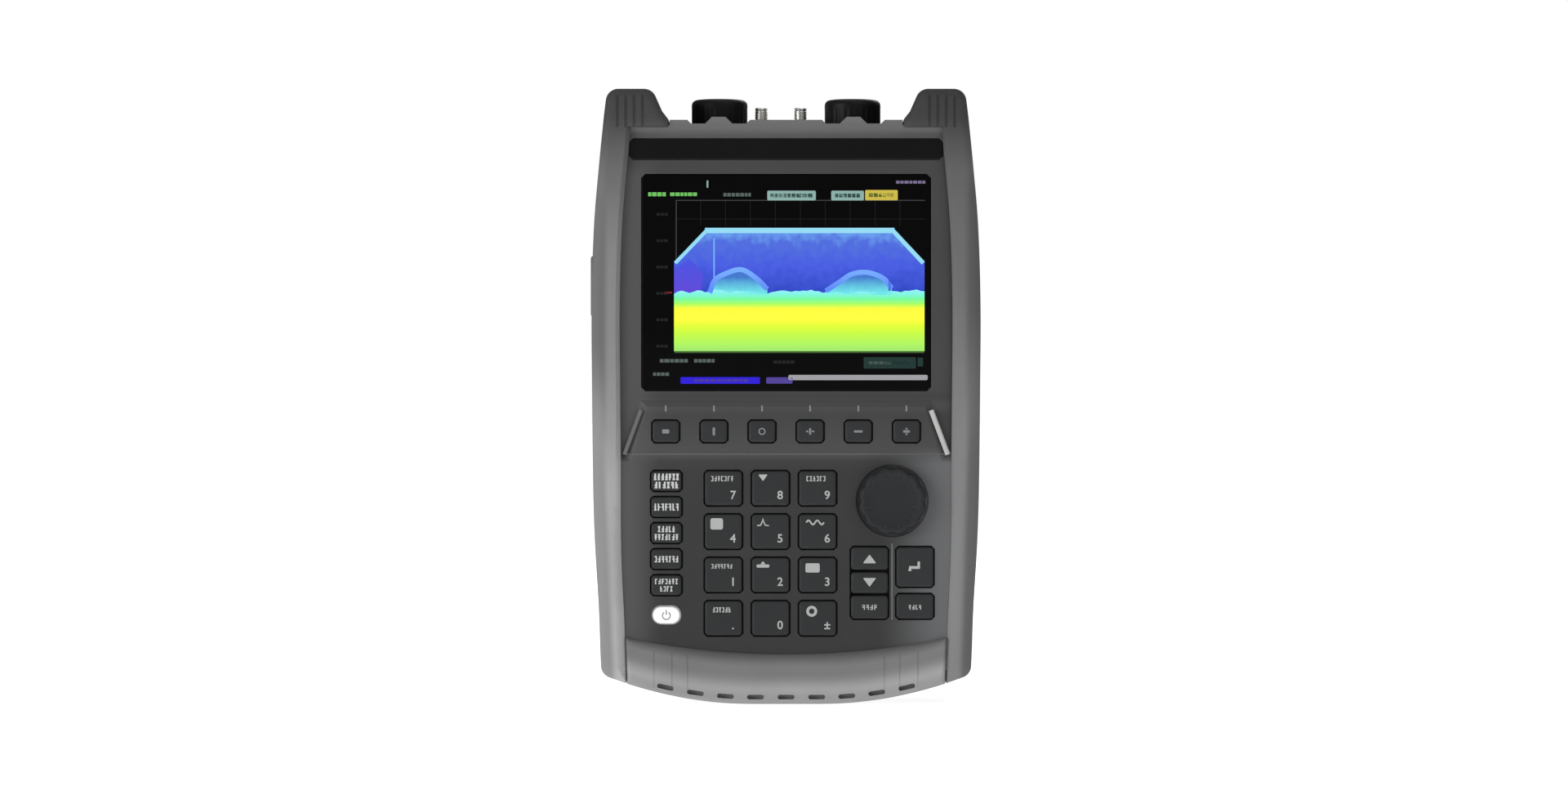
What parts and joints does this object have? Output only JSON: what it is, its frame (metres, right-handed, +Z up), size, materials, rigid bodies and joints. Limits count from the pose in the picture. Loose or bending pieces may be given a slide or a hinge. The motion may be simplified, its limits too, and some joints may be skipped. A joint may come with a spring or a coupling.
{
  "type": "handheld spectrum analyzer",
  "caption": "Rugged handheld spectrum analyzer with colour display, keypad, rotary knob, capped coaxial ports between horns, side port doors, battery bay and bail stand.",
  "frame": {"origin": "middle of the footprint, on the surface the unit stands on", "axes": "+Z up the unit, towards the coaxial ports; the display and keys face -Y; +X to the right seen from the front"},
  "size_m": [0.1873, 0.072, 0.294],
  "materials": {
    "casing": "fine-textured dark grey moulding",
    "seal": "black gasket rubber",
    "grip": "soft-touch grey overmould",
    "bumper": "lighter grey overmould",
    "window": "clear hard-coated window, black outside the picture",
    "module_metal": "satin cast and folded aluminium",
    "header": "bare glossy black strip",
    "knob": "dark soft-touch knob",
    "steel": "plated steel",
    "mat": "silicone",
    "board": "green solder mask",
    "port_metal": "nickel-plated connectors",
    "cap": "black dust cap",
    "socket_metal": "plated socket shells",
    "battery": "black battery case",
    "latch": "ribbed black slider",
    "bail": "dark glass-filled plastic",
    "key": "dark grey coated silicone",
    "power_key": "white silicone"
  },
  "bodies": {
    "casing": {"front_shell": "casing", "rear_shell": "casing", "shell_seal": "seal", "left_side_grip": "grip", "right_side_grip": "grip", "bottom_bumper": "bumper", "display_window": "window", "display_panel": "module_metal", "header_strip": "header", "keypad_mat": "mat", "keypad_board": "board", "main_board": "board", "rf_module": "module_metal", "chassis_frame": "module_metal", "port_connectors": "port_metal", "data_connectors": "socket_metal", "power_connectors": "socket_metal", "battery_pack": "battery", "case_screw_1": "steel", "case_screw_2": "steel", "case_screw_3": "steel", "case_screw_4": "steel"},
    "bail": {"bail_stand": "bail"},
    "battery_lid": {"battery_door": "casing"},
    "latch": {"battery_latch": "latch"},
    "left_door": {"left_port_door": "grip"},
    "right_door": {"right_port_door": "grip"},
    "knob": {"rotary_knob": "knob", "encoder_shaft": "steel"},
    "cap_1": {"port_1_cap": "cap"},
    "cap_2": {"port_2_cap": "cap"},
    "soft_1": {"soft_key_1": "key"},
    "soft_2": {"soft_key_2": "key"},
    "soft_3": {"soft_key_3": "key"},
    "soft_4": {"soft_key_4": "key"},
    "soft_5": {"soft_key_5": "key"},
    "soft_6": {"soft_key_6": "key"},
    "function_1": {"function_key_1": "key"},
    "function_2": {"function_key_2": "key"},
    "function_3": {"function_key_3": "key"},
    "function_4": {"function_key_4": "key"},
    "function_5": {"function_key_5": "key"},
    "power": {"power_key": "power_key"},
    "pad_1": {"pad_key_1": "key"},
    "pad_2": {"pad_key_2": "key"},
    "pad_3": {"pad_key_3": "key"},
    "pad_4": {"pad_key_4": "key"},
    "pad_5": {"pad_key_5": "key"},
    "pad_6": {"pad_key_6": "key"},
    "pad_7": {"pad_key_7": "key"},
    "pad_8": {"pad_key_8": "key"},
    "pad_9": {"pad_key_9": "key"},
    "pad_10": {"pad_key_10": "key"},
    "pad_11": {"pad_key_11": "key"},
    "pad_12": {"pad_key_12": "key"},
    "nav_up": {"nav_up_key": "key"},
    "nav_down": {"nav_down_key": "key"},
    "back": {"back_key": "key"},
    "enter": {"enter_key": "key"},
    "mode": {"mode_key": "key"}
  },
  "joints": [
    {"name": "bail_swing", "type": "hinge", "parent": "casing", "child": "bail", "pos_m": [0, 0.0334, 0.165], "axis": [1, 0, 0], "range_deg": [0, 65]},
    {"name": "battery_door_hinge", "type": "hinge", "parent": "casing", "child": "battery_lid", "pos_m": [0, 0.031, 0.043], "axis": [-1, 0, 0], "range_deg": [0, 95]},
    {"name": "latch_slide", "type": "slide", "parent": "casing", "child": "latch", "axis": [0, 0, 1], "range_m": [0, 0.004], "stiffness_N_per_m": 400, "springref_m": -0.001},
    {"name": "left_port_door_hinge", "type": "hinge", "parent": "casing", "child": "left_door", "pos_m": [-0.093, 0.0194, 0.1928], "axis": [0, 0, -1], "range_deg": [0, 110]},
    {"name": "right_port_door_hinge", "type": "hinge", "parent": "casing", "child": "right_door", "pos_m": [0.093, 0.0194, 0.1928], "axis": [0, 0, 1], "range_deg": [0, 110]},
    {"name": "knob_turn", "type": "hinge", "parent": "casing", "child": "knob", "pos_m": [0.0507, -0.036, 0.0971], "axis": [0, 1, 0], "continuous": true},
    {"name": "port_1_cap_pull", "type": "slide", "parent": "casing", "child": "cap_1", "axis": [0, 0, 1], "range_m": [0, 0.022]},
    {"name": "port_2_cap_pull", "type": "slide", "parent": "casing", "child": "cap_2", "axis": [0, 0, 1], "range_m": [0, 0.022]},
    {"name": "soft_1_press", "type": "slide", "parent": "casing", "child": "soft_1", "axis": [0, 1, 0], "range_m": [0, 0.0012], "stiffness_N_per_m": 1500},
    {"name": "soft_2_press", "type": "slide", "parent": "casing", "child": "soft_2", "axis": [0, 1, 0], "range_m": [0, 0.0012], "stiffness_N_per_m": 1500},
    {"name": "soft_3_press", "type": "slide", "parent": "casing", "child": "soft_3", "axis": [0, 1, 0], "range_m": [0, 0.0012], "stiffness_N_per_m": 1500},
    {"name": "soft_4_press", "type": "slide", "parent": "casing", "child": "soft_4", "axis": [0, 1, 0], "range_m": [0, 0.0012], "stiffness_N_per_m": 1500},
    {"name": "soft_5_press", "type": "slide", "parent": "casing", "child": "soft_5", "axis": [0, 1, 0], "range_m": [0, 0.0012], "stiffness_N_per_m": 1500},
    {"name": "soft_6_press", "type": "slide", "parent": "casing", "child": "soft_6", "axis": [0, 1, 0], "range_m": [0, 0.0012], "stiffness_N_per_m": 1500},
    {"name": "function_1_press", "type": "slide", "parent": "casing", "child": "function_1", "axis": [0, 1, 0], "range_m": [0, 0.0012], "stiffness_N_per_m": 1500},
    {"name": "function_2_press", "type": "slide", "parent": "casing", "child": "function_2", "axis": [0, 1, 0], "range_m": [0, 0.0012], "stiffness_N_per_m": 1500},
    {"name": "function_3_press", "type": "slide", "parent": "casing", "child": "function_3", "axis": [0, 1, 0], "range_m": [0, 0.0012], "stiffness_N_per_m": 1500},
    {"name": "function_4_press", "type": "slide", "parent": "casing", "child": "function_4", "axis": [0, 1, 0], "range_m": [0, 0.0012], "stiffness_N_per_m": 1500},
    {"name": "function_5_press", "type": "slide", "parent": "casing", "child": "function_5", "axis": [0, 1, 0], "range_m": [0, 0.0012], "stiffness_N_per_m": 1500},
    {"name": "power_press", "type": "slide", "parent": "casing", "child": "power", "axis": [0, 1, 0], "range_m": [0, 0.0012], "stiffness_N_per_m": 1500},
    {"name": "pad_1_press", "type": "slide", "parent": "casing", "child": "pad_1", "axis": [0, 1, 0], "range_m": [0, 0.0012], "stiffness_N_per_m": 1500},
    {"name": "pad_2_press", "type": "slide", "parent": "casing", "child": "pad_2", "axis": [0, 1, 0], "range_m": [0, 0.0012], "stiffness_N_per_m": 1500},
    {"name": "pad_3_press", "type": "slide", "parent": "casing", "child": "pad_3", "axis": [0, 1, 0], "range_m": [0, 0.0012], "stiffness_N_per_m": 1500},
    {"name": "pad_4_press", "type": "slide", "parent": "casing", "child": "pad_4", "axis": [0, 1, 0], "range_m": [0, 0.0012], "stiffness_N_per_m": 1500},
    {"name": "pad_5_press", "type": "slide", "parent": "casing", "child": "pad_5", "axis": [0, 1, 0], "range_m": [0, 0.0012], "stiffness_N_per_m": 1500},
    {"name": "pad_6_press", "type": "slide", "parent": "casing", "child": "pad_6", "axis": [0, 1, 0], "range_m": [0, 0.0012], "stiffness_N_per_m": 1500},
    {"name": "pad_7_press", "type": "slide", "parent": "casing", "child": "pad_7", "axis": [0, 1, 0], "range_m": [0, 0.0012], "stiffness_N_per_m": 1500},
    {"name": "pad_8_press", "type": "slide", "parent": "casing", "child": "pad_8", "axis": [0, 1, 0], "range_m": [0, 0.0012], "stiffness_N_per_m": 1500},
    {"name": "pad_9_press", "type": "slide", "parent": "casing", "child": "pad_9", "axis": [0, 1, 0], "range_m": [0, 0.0012], "stiffness_N_per_m": 1500},
    {"name": "pad_10_press", "type": "slide", "parent": "casing", "child": "pad_10", "axis": [0, 1, 0], "range_m": [0, 0.0012], "stiffness_N_per_m": 1500},
    {"name": "pad_11_press", "type": "slide", "parent": "casing", "child": "pad_11", "axis": [0, 1, 0], "range_m": [0, 0.0012], "stiffness_N_per_m": 1500},
    {"name": "pad_12_press", "type": "slide", "parent": "casing", "child": "pad_12", "axis": [0, 1, 0], "range_m": [0, 0.0012], "stiffness_N_per_m": 1500},
    {"name": "nav_up_press", "type": "slide", "parent": "casing", "child": "nav_up", "axis": [0, 1, 0], "range_m": [0, 0.0012], "stiffness_N_per_m": 1500},
    {"name": "nav_down_press", "type": "slide", "parent": "casing", "child": "nav_down", "axis": [0, 1, 0], "range_m": [0, 0.0012], "stiffness_N_per_m": 1500},
    {"name": "back_press", "type": "slide", "parent": "casing", "child": "back", "axis": [0, 1, 0], "range_m": [0, 0.0012], "stiffness_N_per_m": 1500},
    {"name": "enter_press", "type": "slide", "parent": "casing", "child": "enter", "axis": [0, 1, 0], "range_m": [0, 0.0012], "stiffness_N_per_m": 1500},
    {"name": "mode_press", "type": "slide", "parent": "casing", "child": "mode", "axis": [0, 1, 0], "range_m": [0, 0.0012], "stiffness_N_per_m": 1500}
  ]
}
